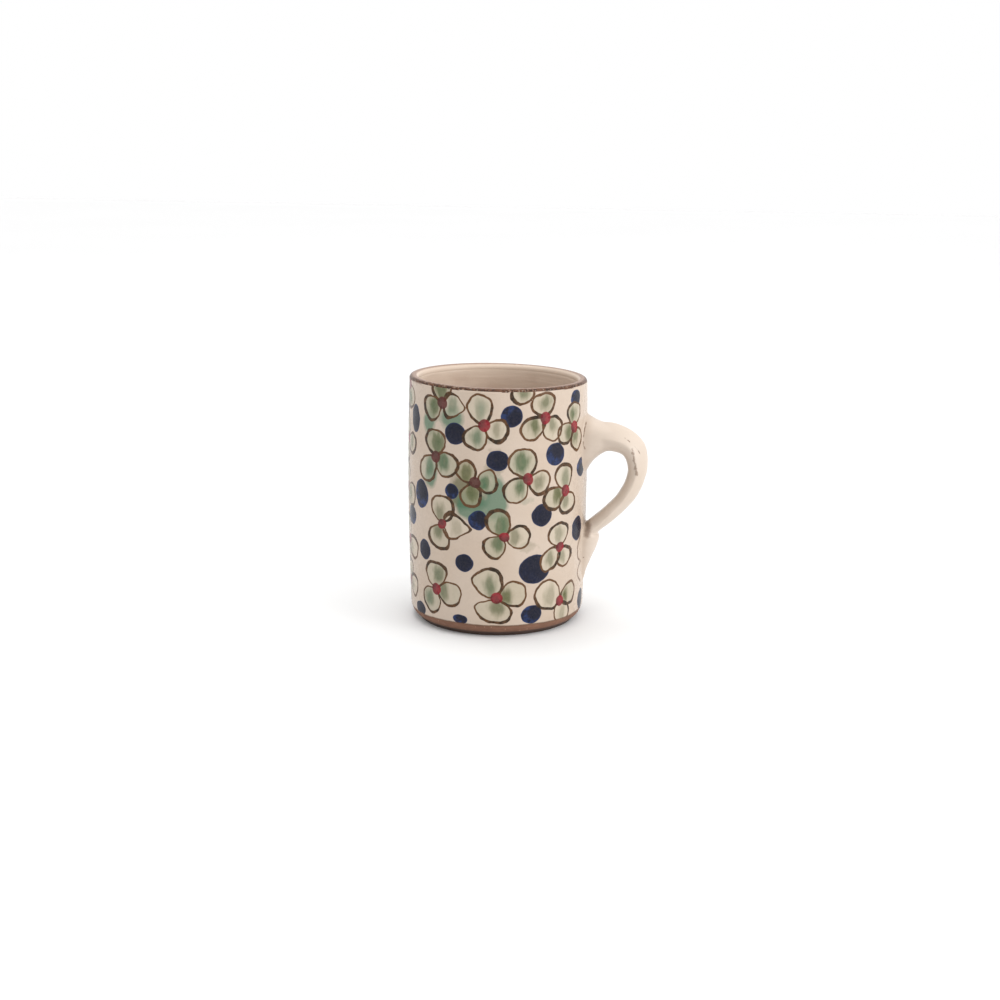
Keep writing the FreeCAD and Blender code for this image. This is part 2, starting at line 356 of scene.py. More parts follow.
def make_lip_glaze():
    """The iron-brown coat: down to the brown line outside, and to the liner's top inside."""
    inner = rim_radius - 2.0 * lip_radius
    outside = lip_profile(-0.03, 30, lowest=0.12)
    edge = [(radius, wandering(height)) for radius, height in outside[:2]]
    inside = lip_profile(coat, 12)[::-1]
    under = [(inner, rim_line_height), (inner + 0.15, rim_line_height - 0.4)]
    return lathe("lip_glaze", edge + outside[2:] + under + inside, 320, closed=True)


# ---- The handle
def smooth_path(stations, steps):
    """Values of a Catmull-Rom curve through the stations, steps of them between each pair."""
    rows = [2 * np.array(stations[0]) - np.array(stations[1])]
    rows += [np.array(s) for s in stations]
    rows += [2 * rows[-1] - rows[-2]]
    path = []
    for k in range(1, len(rows) - 2):
        before, start, end, after = rows[k - 1], rows[k], rows[k + 1], rows[k + 2]
        for t in np.arange(steps) / steps:
            path.append(0.5 * (2 * start + (end - before) * t
                               + (2 * before - 5 * start + 4 * end - after) * t ** 2
                               + (3 * start - before - 3 * end + after) * t ** 3))
    return np.array(path + [rows[-2]])


def superellipse(squareness):
    """Across and outward shares, each from -1 to 1, of points round a full-cornered ellipse."""
    angle = np.arange(section_points) * TURN / section_points
    across = np.sign(np.cos(angle)) * np.abs(np.cos(angle)) ** (2.0 / squareness)
    outward = np.sign(np.sin(angle)) * np.abs(np.sin(angle)) ** (2.0 / squareness)
    return across, outward


def ridged_outline():
    """The strap's section: domed outside, fuller inside, with a soft ridge down each side between them."""
    angle = np.arange(section_points) * TURN / section_points
    across = np.cos(angle)
    side = np.abs(across)
    domed = (1.0 - side ** outer_crown) ** outer_slope
    fuller = -(1.0 - side ** inner_crown) ** inner_slope
    return across, np.where(np.sin(angle) > 0, domed, fuller)


def ring_faces(count, rings):
    """Quads between rings of count points each, and a cap on the first and the last."""
    faces = [list(range(count))[::-1]]
    for start in range(0, (rings - 1) * count, count):
        for k in range(count):
            n = (k + 1) % count
            faces.append([start + k, start + n, start + count + n, start + count + k])
    faces.append([(rings - 1) * count + k for k in range(count)])
    return faces


def tube(centres, outwards, widths, depths, shares):
    """Points and faces of a closed tube with a section of those shares at each centre, in the XZ plane."""
    points = []
    for centre, direction, width, depth in zip(centres, outwards, widths, depths):
        for across, outward in zip(*shares):
            shift = direction * (outward * (depth / 2 + coat))
            points.append((centre[0] + shift[0], across * (width / 2 + coat), centre[1] + shift[1]))
    return points, ring_faces(section_points, len(centres))


def strap_tube():
    path = smooth_path(strap_stations, 8)
    centres = path[:, :2]
    forward = np.gradient(centres, axis=0)
    forward /= np.linalg.norm(forward, axis=1)[:, None]
    outwards = np.column_stack([-forward[:, 1], forward[:, 0]])
    return tube(centres, outwards, path[:, 3], path[:, 2], ridged_outline())


def root_tube():
    path = smooth_path(root_stations, 8)
    upright = np.tile([0.0, 1.0], (len(path), 1))
    return tube(path[:, :2], upright, path[:, 3], path[:, 2], superellipse(2.2))


def tail_tube():
    path = smooth_path(tail_stations, 8)
    centres = np.column_stack([(path[:, 1] + tail_back) / 2, path[:, 0]])
    level = np.tile([1.0, 0.0], (len(path), 1))
    return tube(centres, level, path[:, 2], path[:, 1] - tail_back, superellipse(2.0))


def wall_patch(low, high, spread, sink=0.12, thickness=3.0):
    """Points and faces of a piece of wall just under the painted surface, which a joint's clay runs into."""
    points = []
    angles = np.linspace(-spread, spread, 25) / 40.0
    heights = np.linspace(low, high, 21)
    for height in heights:
        radius = wall_radius(height) - sink
        points += [(radius * math.cos(a), radius * math.sin(a), height) for a in angles]
        radius -= thickness
        points += [(radius * math.cos(a), radius * math.sin(a), height) for a in angles[::-1]]
    return points, ring_faces(2 * len(angles), len(heights))


def make_handle_coat():
    """The strap, its root and its tail as one skin: joined, remeshed and smoothed into the wall."""
    points = []
    faces = []
    shells = [strap_tube(), root_tube(), tail_tube()]
    shells += [wall_patch(60.0, 103.0, 17.0), wall_patch(11.0, 54.0, 14.0)]
    for shell_points, shell_faces in shells:
        faces += [[v + len(points) for v in face] for face in shell_faces]
        points += shell_points
    piece = make_object("handle_coat", points, faces, "root")
    face_outwards(piece)
    remesh = piece.modifiers.new("remesh", "REMESH")
    remesh.mode = "VOXEL"
    remesh.voxel_size = handle_voxel * MM
    apply_modifiers(piece)
    blend_joints(piece)
    write_points(piece, thrown(knead(read_points(piece))))
    piece.data.shade_smooth()
    return piece


def blend_joints(piece):
    """Smooths the skin: lightly along the strap, so that its ridge stays, and more where clay was joined."""
    points = read_points(piece)
    x, y, z = points.T
    root = np.clip((55.5 - x) / 5.0, 0.0, 1.0) * (z > 60.0)
    tail = np.clip((48.5 - x) / 3.0, 0.0, 1.0) * (z < 56.0)
    group = piece.vertex_groups.new(name="joined")
    for index, weight in enumerate(np.maximum(root, tail)):
        group.add([index], weight, "REPLACE")
    for name, iterations in (("joined", 26), ("", 3)):
        smooth = piece.modifiers.new("smooth", "SMOOTH")
        smooth.factor = 0.5
        smooth.iterations = iterations
        smooth.vertex_group = name
    apply_modifiers(piece)
    piece.vertex_groups.clear()


def knead(points):
    """Finger-worn unevenness along the handle, in its own plane and across it."""
    x, y, z = points.T
    away = np.clip((np.hypot(x, y) - 42.5) / 6.0, 0.0, 1.0)
    y = y + away * (0.22 * np.sin(z / 5.3 + 1.0) + 0.10 * np.sin(x / 2.7 + z / 3.1))
    x = x + away * (0.12 * np.sin(z / 4.1 + y / 3.0) + 0.07 * np.sin(z / 1.9 + 2.0))
    z = z + away * 0.12 * np.sin(x / 3.7 + y / 4.0)
    return np.column_stack([x, y, z])


def apply_modifiers(piece):
    graph = bpy.context.evaluated_depsgraph_get()
    final = bpy.data.meshes.new_from_object(piece.evaluated_get(graph))
    piece.modifiers.clear()
    piece.data = final


def read_numbers(items, name, kind=float, width=1):
    """A named number, or several, of each of a mesh's items."""
    values = np.zeros(len(items) * width, kind)
    items.foreach_get(name, values)
    return values.reshape(-1, width) if width > 1 else values


def read_points(piece):
    """The vertices of a piece, in millimetres."""
    return read_numbers(piece.data.vertices, "co", width=3) / MM


def write_points(piece, points):
    piece.data.vertices.foreach_set("co", (points * MM).ravel())
    piece.data.update()


# ---- The painting, as coordinates that the glaze's shader draws with
FAR = 9.0                   # a coordinate where nothing is painted
motif_reach = 2.2           # how many half sizes from its middle a motif's coordinates reach
petal_start = 1.0           # a petal starts this far from its flower's middle
degree_across = math.radians(1.0) * belly_radius


def free_places(rng, arounds, heights, spacings):
    """Places at the back that keep off the handle's joints and their distance from lists of motifs."""
    for _ in range(4000):
        around = rng.uniform(*arounds)
        height = rng.uniform(*heights)
        by_handle = around > arounds[1] - 14 and 12 < height < 100
        if not by_handle and all(nearest(around, height, motifs) >= gap for motifs, gap in spacings):
            yield around, height


def fill_the_back(rng):
    """Flowers and dabs for the side that faces away, spaced as on the side that faces the camera."""
    all_flowers = list(flowers)
    all_dabs = list(dabs)
    spacings = ((all_flowers, 21.5), (all_dabs, 12.5))
    for around, height in free_places(rng, (166, 352), (12, 106), spacings):
        turn = rng.uniform(90, 118)
        petals = []
        for extra in (0, rng.uniform(-128, -104), rng.uniform(112, 128)):
            size = (rng.uniform(9.4, 12.6), rng.uniform(9.2, 12.2))
            petals.append((turn + extra, *size, rng.uniform(0.3, 0.9), rng.choice((0.0, 0.1, 0.3, 0.8))))
        all_flowers.append((around, height, rng.choice((0.0, 0.0, 0.2, 0.8)), petals))
    spacings = ((all_flowers, 13.0), (all_dabs, 15.0))
    for around, height in free_places(rng, (150, 354), (6, 105), spacings):
        width = rng.uniform(8.2, 10.8)
        all_dabs.append((around, height, width, width * rng.uniform(0.9, 1.15)))
    return all_flowers[len(flowers):], all_dabs[len(dabs):]


def nearest(around, height, motifs):
    """How far the nearest motif is from a place on the wall, in millimetres."""
    return min(math.hypot(wrapped(around - m[0]) * degree_across, height - m[1]) for m in motifs)


def wrapped(degrees):
    return (degrees + 180.0) % 360.0 - 180.0


def on_wall(points):
    """How far round from the handle and how high points are."""
    return -np.degrees(np.arctan2(points[:, 1], points[:, 0])), points[:, 2]


class Canvas:
    """The places of a mesh's faces and corners on the wall, and the attributes painted over them."""

    def __init__(self, piece):
        self.mesh = piece.data
        self.around, self.height = on_wall(read_points(piece))
        self.corner_point = read_numbers(self.mesh.loops, "vertex_index", int)
        totals = read_numbers(self.mesh.polygons, "loop_total", int)
        self.corner_face = np.repeat(np.arange(len(totals)), totals)
        centres = read_numbers(self.mesh.polygons, "center", width=3) / MM
        self.face_around, self.face_height = on_wall(centres)

    def owners(self, motifs):
        """Which motif each face belongs to: the one it is nearest to for its size."""
        best = np.full(len(self.face_around), 1e9)
        owner = np.full(len(self.face_around), -1)
        for index, motif in enumerate(motifs):
            along, across = motif.local(self.face_around, self.face_height)
            distance = np.hypot(along / motif.half_length, across / motif.half_width)
            closer = distance < best
            best[closer] = distance[closer]
            owner[closer] = index
        owner[best > motif_reach] = -1
        return owner

    def paint(self, name, motifs, traits):
        """Writes each motif's own coordinates on the faces near it, and its traits."""
        owner = self.owners(motifs)
        place = np.full((len(self.corner_point), 4), FAR)
        place[:, 2:] = 1.0
        values = {trait: np.zeros((len(owner), 4)) for trait in traits}
        for index, motif in enumerate(motifs):
            corners = np.flatnonzero(owner[self.corner_face] == index)
            points = self.corner_point[corners]
            place[corners, 0], place[corners, 1] = motif.local(self.around[points], self.height[points])
            place[corners, 2:] = motif.half_length, motif.half_width
            for trait, value in values.items():
                value[owner == index] = getattr(motif, trait)
        self.write(name, "CORNER", place)
        for trait, value in values.items():
            self.write(f"{name}_{trait}", "FACE", value)

    def write(self, name, domain, values):
        kind, field = ("FLOAT_COLOR", "color") if values.ndim == 2 else ("FLOAT", "value")
        layer = self.mesh.attributes.new(name, kind, domain)
        layer.data.foreach_set(field, values.astype(np.float32).ravel())


class Motif:
    """A painted shape: its middle on the wall, its turn, its half sizes, and what the brush did there."""

    def __init__(self, around, height, turn, length, width):
        self.around = around
        self.height = height
        self.turn = math.radians(turn)
        self.half_length = length / 2.0
        self.half_width = width / 2.0

    def local(self, around, height):
        """How far places on the wall are from the middle, along and across the shape's own axis."""
        right = -wrapped(around - self.around) * degree_across
        up = height - self.height
        c, s = math.cos(self.turn), math.sin(self.turn)
        return right * c + up * s, up * c - right * s


def petal_motif(flower, petal, rng):
    around, height = flower[:2]
    turn, length, width, fill, teal, *corner = petal
    reach = petal_start + length / 2.0
    across = -reach * math.cos(math.radians(turn)) / degree_across
    motif = Motif(around + across, height + reach * math.sin(math.radians(turn)), turn, length, width)
    press = rng.uniform(0, TURN)
    motif.brush = (math.cos(press), math.sin(press), math.cos(motif.turn), math.sin(motif.turn))
    motif.wash = (rng.uniform(-0.5, 0.1), rng.uniform(-0.25, 0.25), fill, teal)
    weight = rng.uniform(0.85, 1.2)
    motif.temper = (0.0, 0.0, weight, 0.2)
    if corner:
        aside = math.radians(corner[0]) - motif.turn
        narrowing = -0.4 if corner[0] == turn else 0.1
        motif.temper = (math.cos(aside), math.sin(aside), weight, narrowing)
    return motif


def paint_wall(piece):
    canvas = Canvas(piece)
    rng = random.Random(41)
    back_flowers, back_dabs = fill_the_back(rng)
    channels = [[], [], []]
    centres = []
    for flower in flowers + back_flowers:
        for channel, petal in enumerate(flower[3]):
            channels[channel].append(petal_motif(flower, petal, rng))
        size = rng.uniform(4.9, 5.9)
        centre = Motif(*flower[:2], rng.uniform(0, 180), size, size * rng.uniform(0.85, 1.0))
        centre.tone = (flower[2], rng.uniform(0, 1), 0.0, 0.0)
        centres.append(centre)
    for channel, motifs in enumerate(channels):
        canvas.paint(f"petal{channel}", motifs, ("brush", "wash", "temper"))
    canvas.paint("middle", centres, ("tone",))
    spots = []
    for around, height, width, tall in dabs + back_dabs:
        spot = Motif(around, height, 0.0, width, tall)
        lobe = rng.uniform(-1.3, 1.3)
        thickness = 1.0 if width > 12.0 else rng.choice((0.0, 0.3, 1.0))
        spot.tone = (math.cos(lobe), math.sin(lobe), thickness, 0.0)
        spots.append(spot)
    canvas.paint("dab", spots, ("tone",))
    paint_free_lines(canvas)
    canvas.write("teal_run", "POINT", pooled(canvas, teal_runs + back_runs(back_flowers, rng)))
    canvas.write("olive_run", "POINT", pooled(canvas, olive_runs + back_runs(back_flowers, rng)))
    glaze_edge = foot_line_height + waver(-np.radians(canvas.around))
    canvas.write("above_edge", "POINT", canvas.height - glaze_edge)


def paint_free_lines(canvas):
    strokes = []
    for line in free_lines:
        path = smooth_path(line, 4)
        for (around, height), (next_around, next_height) in zip(path, path[1:]):
            right = -(next_around - around) * degree_across
            up = next_height - height
            length = math.hypot(right, up)
            stroke = Motif((around + next_around) / 2.0, (height + next_height) / 2.0,
                           math.degrees(math.atan2(up, right)), length, 2.4)
            strokes.append(stroke)
    canvas.paint("stroke", strokes, ())


def back_runs(back_flowers, rng):
    """Soft green runs below some of the flowers at the back."""
    runs = []
    for around, height, _, _ in rng.sample(back_flowers, min(4, len(back_flowers))):
        runs.append((around + rng.uniform(-8, 8), height - rng.uniform(7, 11), rng.uniform(3, 6),
                     rng.uniform(3, 6), rng.uniform(0.4, 0.9)))
    return runs


def pooled(canvas, runs):
    """Strength of the colour that ran, summed over soft-edged ovals."""
    total = np.zeros(len(canvas.around))
    for around, height, across, up_size, strength in runs:
        right = -wrapped(canvas.around - around) * degree_across
        distance = np.hypot(right / across, (canvas.height - height) / up_size)
        total += strength * np.clip(1.5 - distance, 0.0, 1.0)
    return np.clip(total, 0.0, 1.2)


# ---- Shader helpers
def srgb(red, green, blue):
    """A linear colour from display values, 0 to 255."""
    def linear(value):
        share = value / 255.0
        return share / 12.92 if share <= 0.04045 else ((share + 0.055) / 1.055) ** 2.4
    return (linear(red), linear(green), linear(blue), 1.0)


class Sheet:
    """The node tree of a material or world, written to with short calls."""

    def __init__(self, owner, shader="Principled BSDF"):
        self.owner = owner
        owner.use_nodes = True
        self.tree = owner.node_tree
        self.shader = self.tree.nodes[shader]

    def fill(self, node, inputs):
        """Puts terms or plain values into a node's named or numbered inputs."""
        for key, value in inputs.items():
            if isinstance(value, Term):
                self.tree.links.new(value.socket, node.inputs[key])
            else:
                node.inputs[key].default_value = value

    def node(self, kind, inputs=(), **settings):
        made = self.tree.nodes.new(kind)
        for key, value in settings.items():
            setattr(made, key, value)
        self.fill(made, dict(inputs))
        return made

    def term(self, output, kind, inputs=(), **settings):
        """One output of a new node."""
        return Term(self, self.node(kind, inputs, **settings).outputs[output])

    def math(self, operation, *values):
        return self.term(0, "ShaderNodeMath", enumerate(values), operation=operation)

    def step(self, value, start, end, low=0.0, high=1.0):
        """Low at start, high at end, eased between; start may be the larger."""
        values = enumerate((value, start, end, low, high))
        return self.term(0, "ShaderNodeMapRange", values, interpolation_type="SMOOTHSTEP")

    def mix(self, share, first, second):
        return self.term(2, "ShaderNodeMix", {0: share, 6: first, 7: second}, data_type="RGBA")

    def split(self, colour):
        """The three numbers of a colour socket."""
        parts = self.node("ShaderNodeSeparateColor", {0: Term(self, colour)})
        return [Term(self, out) for out in parts.outputs]

    def attribute(self, name):
        """The four numbers of a painted attribute."""
        made = self.node("ShaderNodeAttribute", attribute_name=name)
        return [*self.split(made.outputs["Color"]), Term(self, made.outputs["Alpha"])]

    def strength(self, name):
        return self.term("Fac", "ShaderNodeAttribute", attribute_name=name)

    def place(self):
        """The shaded point in the mug's own frame, in metres."""
        return self.term("Object", "ShaderNodeTexCoord")

    def scaled(self, vector, factors, shift=(0.0, 0.0, 0.0)):
        return self.term(0, "ShaderNodeMapping", {"Vector": vector, "Scale": factors, "Location": shift})

    def noise(self, vector, size, detail=2.0, roughness=0.5, output="Fac"):
        """A noise from 0 to 1 whose features are about size millimetres across."""
        inputs = {"Vector": vector, "Scale": 1.0 / (size * MM), "Detail": detail, "Roughness": roughness}
        return self.term(output, "ShaderNodeTexNoise", inputs)

    def specks(self, vector, spacing, share, radius):
        """Round specks: cells of a spacing, a share of which hold one, of a radius in millimetres."""
        cells = self.node("ShaderNodeTexVoronoi", {"Vector": vector, "Scale": 1.0 / (spacing * MM)})
        chance, girth, _ = self.split(cells.outputs["Color"])
        size = girth * (radius / spacing) + 0.3 * radius / spacing
        near = self.step(Term(self, cells.outputs["Distance"]), size, size * 0.5)
        return self.math("LESS_THAN", chance, share) * near

    def bump(self, height, distance, under=None):
        inputs = {"Height": height, "Distance": distance * MM}
        if under:
            inputs["Normal"] = under
        return self.term(0, "ShaderNodeBump", inputs)

    def finish(self, colour, roughness, normal, fixed):
        self.fill(self.shader, {"Base Color": colour, "Roughness": roughness, "Normal": normal, **fixed})
        return self.owner


class Term:
    """A number or colour inside a node tree, so that shader sums read like sums."""

    def __init__(self, sheet, socket):
        self.sheet = sheet
        self.socket = socket

    def __add__(self, other):
        return self.sheet.math("ADD", self, other)

    def __sub__(self, other):
        return self.sheet.math("SUBTRACT", self, other)

    def __rsub__(self, other):
        return self.sheet.math("SUBTRACT", other, self)

    def __mul__(self, other):
        return self.sheet.math("MULTIPLY", self, other)

    def __truediv__(self, other):
        return self.sheet.math("DIVIDE", self, other)

    __radd__ = __add__
    __rmul__ = __mul__


def length(sheet, x, y):
    return sheet.math("SQRT", x * x + y * y + 1e-6)


# ---- Materials
cream = srgb(191, 175, 160)
warm_cream = srgb(187, 169, 152)
petal_white = srgb(200, 189, 170)
line_dark = srgb(34, 25, 13)
line_brown = srgb(90, 60, 35)
olive = srgb(78, 82, 44)
sage = srgb(120, 117, 84)
teal = srgb(52, 104, 80)
navy = srgb(16, 19, 38)
navy_light = srgb(34, 54, 98)
navy_dark = srgb(8, 10, 22)
berry = srgb(134, 24, 38)
berry_dark = srgb(84, 18, 26)
berry_brown = srgb(70, 40, 34)
lip_brown = srgb(98, 65, 46)
lip_dark = srgb(46, 30, 22)
lip_mauve = srgb(144, 116, 100)
clay_red = srgb(126, 90, 70)
# The handle's creams are a paler, greyer copy of the wall's cream: painted sheen for the glaze's highlight on
# the handle.
handle_cream_painted_sheen = srgb(202, 188, 175)
handle_warm_painted_sheen = srgb(198, 183, 168)

gloss = {"Specular IOR Level": 0.16, "Coat Weight": 0.08, "Coat Roughness": 0.08}


def slip(sheet, place, ground, warmer):
    """The slip under clear glaze: soft clouds of two creams, with fine iron specks."""
    colour = sheet.mix(sheet.step(sheet.noise(place, 24.0, 1.5), 0.3, 0.75), ground, warmer)
    colour = sheet.mix(sheet.specks(place, 7.0, 0.35, 0.34) * 0.75, colour, line_brown)
    colour = sheet.mix(sheet.specks(place, 2.6, 0.2, 0.16) * 0.5, colour, line_brown)
    return colour


def petal_layers(sheet, channel, drift, grain, streak):
    """One petal's outline and wash, drawn with its own coordinates. The wash is brushed up and down the
    wall, whichever way the petal points."""
    along, across, half_length, half_width = sheet.attribute(f"petal{channel}")
    press_x, press_y, lean_x, lean_y = sheet.attribute(f"petal{channel}_brush")
    wash_x, wash_y, fill, tealness = sheet.attribute(f"petal{channel}_wash")
    corner_x, corner_y, weight, taper = sheet.attribute(f"petal{channel}_temper")
    u = (along + drift[0]) / half_length
    v = (across + drift[1]) / (half_width * (1.0 + u * taper))
    radius = length(sheet, u, v)
    c = u / radius
    s = v / radius
    towards_corner = sheet.math("MAXIMUM", corner_x * c + corner_y * s, 0.0)
    edge = 1.0 + sheet.math("POWER", towards_corner, 12.0) * 0.18
    outside = (radius - edge) * (half_length * c * c + half_width * s * s)
    pressure = sheet.step(press_x * c + press_y * s, -1.0, 1.0)
    opened = sheet.step(c, -0.99, -0.93)
    half = (pressure * pressure * 0.26 + 0.36 + grain * 0.2) * weight * opened
    distance = sheet.math("ABSOLUTE", outside)
    line = sheet.step(distance, half + 0.12, half - 0.1) * sheet.step(half, 0.05, 0.14)
    inside = sheet.step(outside, 0.1, -0.5)
    du = (u - wash_x) * half_length
    dv = (v - wash_y) * half_width
    right = (du * lean_x - dv * lean_y) / (half_width * 0.72)
    up = (du * lean_y + dv * lean_x) / (half_length * 1.05)
    blot = sheet.step(length(sheet, right, up) + (streak - 0.5) * 1.1, 1.1, 0.25)
    wash = inside * sheet.math("MINIMUM", fill * 0.6 + blot * (0.4 + 0.6 * fill), 1.0)
    return line, wash, blot, tealness, pressure, inside


def paint_flowers(sheet, colour, place):
    """Pale petals and the blue dabs first, then the green washes, the outlines and the red middles."""
    wander = sheet.noise(place, 5.0, 1.5, output="Color")
    drift = [(part - 0.5) * 1.9 for part in sheet.split(wander.socket)[:2]]
    grain = sheet.noise(place, 1.0, 3.0)
    mottle = sheet.noise(place, 2.4, 3.0)
    streak = sheet.noise(sheet.scaled(place, (1.0, 1.0, 0.3)), 2.2, 2.0)
    layers = [petal_layers(sheet, channel, drift, grain, streak) for channel in range(3)]
    covered = sheet.math("MAXIMUM", layers[0][-1], sheet.math("MAXIMUM", layers[1][-1], layers[2][-1]))
    colour = sheet.mix(covered * 0.45, colour, petal_white)
    colour = paint_dabs(sheet, colour, drift, grain, mottle, place, covered)
    for _, wash, blot, tealness, _, _ in layers:
        green = sheet.mix(blot * (mottle + 0.45), sage, olive)
        green = sheet.mix(tealness * (streak * 1.2 + 0.1), green, teal)
        colour = sheet.mix(wash * (streak * 0.3 + 0.75), colour, green)
    for line, _, _, _, pressure, _ in layers:
        ink = sheet.mix(sheet.step(mottle + (1.0 - pressure) * 0.3, 0.3, 0.8), line_dark, line_brown)
        colour = sheet.mix(line * (grain * 0.2 + 0.88), colour, ink)
    colour = paint_strokes(sheet, colour, drift, grain)
    return paint_middles(sheet, colour, drift, mottle)


def paint_dabs(sheet, colour, drift, grain, mottle, place, covered):
    """Blue blots: dark where the colour lay thick, with watery lighter blue towards one side."""
    right, up, half_width, half_tall = sheet.attribute("dab")
    lobe_x, lobe_y, thickness, _ = sheet.attribute("dab_tone")
    x = (right + drift[0] * 0.6) / half_width
    y = (up + drift[1] * 0.6) / half_tall
    outside = (length(sheet, x, y) - 1.0) * half_width
    mask = sheet.step(outside, 0.14, -0.14)
    streaks = sheet.noise(sheet.scaled(place, (1.0, 1.0, 0.5)), 2.6, 3.0)
    lobe = length(sheet, x - lobe_x * 0.5, y - lobe_y * 0.5) + (streaks - 0.5) * 0.8
    thick = sheet.step(lobe, 1.15, 0.55)
    blue = sheet.mix(sheet.step(mottle, 0.35, 0.65), navy_light, navy)
    blue = sheet.mix(sheet.math("MAXIMUM", thick, thickness) * 0.9, blue, navy)
    blue = sheet.mix(sheet.step(mottle - thick * 0.2, 0.4, 0.25) * 0.5, blue, navy_dark)
    blue = sheet.mix(sheet.step(outside, -0.7, -0.1) * 0.45, blue, navy_light)
    blue = sheet.mix(sheet.specks(place, 4.0, 0.14, 0.2) * 0.6, blue, petal_white)
    return sheet.mix(mask * (1.0 - covered) * (grain * 0.06 + 0.96), colour, blue)


def paint_strokes(sheet, colour, drift, grain):
    along, across, half_length, _ = sheet.attribute("stroke")
    beyond = sheet.math("MAXIMUM", sheet.math("ABSOLUTE", along) - half_length, 0.0)
    distance = length(sheet, beyond, across + drift[0] * 0.5)
    half = grain * 0.3 + 0.3
    line = sheet.step(distance, half + 0.1, half - 0.08)
    return sheet.mix(line * 0.85, colour, line_brown)


def paint_middles(sheet, colour, drift, mottle):
    x, y, half_width, half_tall = sheet.attribute("middle")
    brownness = sheet.attribute("middle_tone")[0]
    u = (x + drift[0] * 0.5) / half_width
    v = (y + drift[1] * 0.5) / half_tall
    outside = (length(sheet, u, v) - 1.0) * half_width
    mask = sheet.step(outside, 0.16, -0.16)
    red = sheet.mix(sheet.step(mottle + v * 0.25, 0.25, 0.8), berry, berry_dark)
    red = sheet.mix(brownness, red, berry_brown)
    return sheet.mix(mask * 0.94, colour, red)


def painted_glaze_material():
    sheet = Sheet(bpy.data.materials.new("painted_glaze"))
    place = sheet.place()
    colour = slip(sheet, place, cream, warm_cream)
    bleed = sheet.noise(place, 4.5, 4.0, 0.6)
    for name, hue in (("olive_run", olive), ("teal_run", teal)):
        level = sheet.strength(name) + (bleed - 0.5) * 0.9
        wet = sheet.step(level, 0.3, 1.0)
        rim = sheet.step(level, 0.3, 0.42) * sheet.step(level, 0.7, 0.45)
        colour = sheet.mix(wet * 0.75 + rim * 0.12, colour, hue)
    colour = paint_flowers(sheet, colour, place)
    edge = sheet.strength("above_edge")
    thin = sheet.step(edge + (bleed - 0.5) * 0.5, 0.75, 0.15)
    colour = sheet.mix(thin * 0.8, colour, line_brown)
    ripple = sheet.bump(sheet.noise(sheet.scaled(place, (1.0, 1.0, 2.2)), 9.0, 2.0), 0.12)
    pitted = sheet.bump(sheet.noise(place, 0.9, 2.0), 0.004, under=ripple)
    roughness = sheet.step(bleed, 0.2, 0.9, 0.24, 0.34)
    return sheet.finish(colour, roughness, pitted, gloss)


def handle_glaze_material():
    sheet = Sheet(bpy.data.materials.new("handle_glaze"))
    place = sheet.place()
    # Painted sheen: the handle is coloured from paler creams than the wall, blending back to the wall's cream
    # near the wall.
    colour = slip(sheet, place, handle_cream_painted_sheen, handle_warm_painted_sheen)
    wall_slip = slip(sheet, place, cream, warm_cream)
    colour = sheet.mix(sheet.step(sheet.strength("off_wall"), 5.0, 0.3), colour, wall_slip)
    grain = sheet.noise(place, 0.9, 4.0)
    breaks = sheet.noise(place, 2.6, 2.0)
    # Painted shade: brown darkening in the crease under the strap's lower end.
    painted_crevice_shade = sheet.step(sheet.strength("lower_crevice_painted_shade") + (grain - 0.5) * 1.2, 2.2, 0.4)
    colour = sheet.mix(painted_crevice_shade * 0.6, colour, line_brown)
    rubbed = sheet.step(sheet.strength("rubbed_ridge") + (grain - 0.5) * 2.0 + (breaks - 0.5) * 2.0, 0.9, 0.0)
    colour = sheet.mix(rubbed * 0.6, colour, line_brown)
    line = sheet.step(sheet.strength("fine_line") + (grain - 0.5) * 0.3, 0.42, 0.15)
    colour = sheet.mix(line * sheet.step(breaks, 0.4, 0.55) * 0.7, colour, line_brown)
    ripple = sheet.bump(sheet.noise(place, 5.0, 2.0), 0.18)
    pitted = sheet.bump(sheet.noise(place, 0.9, 2.0), 0.012, under=ripple)
    return sheet.finish(colour, 0.3, pitted, gloss)


def liner_material():
    sheet = Sheet(bpy.data.materials.new("liner_glaze"))
    place = sheet.place()
    clouds = sheet.step(sheet.noise(place, 14.0, 4.0), 0.35, 0.7)
    colour = sheet.mix(clouds, srgb(203, 184, 167), srgb(194, 173, 156))
    colour = sheet.mix(sheet.specks(place, 6.0, 0.3, 0.3) * 0.6, colour, line_brown)
    # Painted light: the top of the inside wall is lighter, fading out over 5 mm below the lip.
    colour = sheet.mix(sheet.step(sheet.strength("painted_light_near_lip"), 0.0, 1.0) * 0.6, colour, srgb(210, 193, 176))
    rings = sheet.bump(sheet.noise(sheet.scaled(place, (0.4, 0.4, 3.0)), 8.0, 2.0), 0.25)
    pitted = sheet.bump(sheet.noise(place, 0.8, 3.0), 0.02, under=rings)
    return sheet.finish(colour, 0.32, pitted, gloss)


def lip_material():
    sheet = Sheet(bpy.data.materials.new("rim_glaze"))
    place = sheet.place()
    stretched = sheet.noise(place, 3.2, 4.0, 0.65)
    grain = sheet.noise(place, 0.8, 3.0)
    outer = sheet.strength("lip_side")
    brown = sheet.mix(sheet.step(stretched + (grain - 0.5) * 1.2, 0.3, 0.65), lip_dark, lip_brown)
    share = sheet.step(outer + (stretched - 0.5) * 0.9 + (grain - 0.5) * 0.5, 0.2, 0.7)
    colour = sheet.mix(share, lip_mauve, brown)
    fleck = sheet.step(sheet.noise(place, 0.9, 3.0), 0.56, 0.66)
    colour = sheet.mix(fleck * 0.45, colour, srgb(190, 170, 152))
    inner = sheet.step(outer + (grain - 0.5) * 0.2, -0.3, -0.8)
    colour = sheet.mix(inner, colour, srgb(208, 190, 173))
    pitted = sheet.bump(grain, 0.05)
    return sheet.finish(colour, 0.36, pitted, gloss)


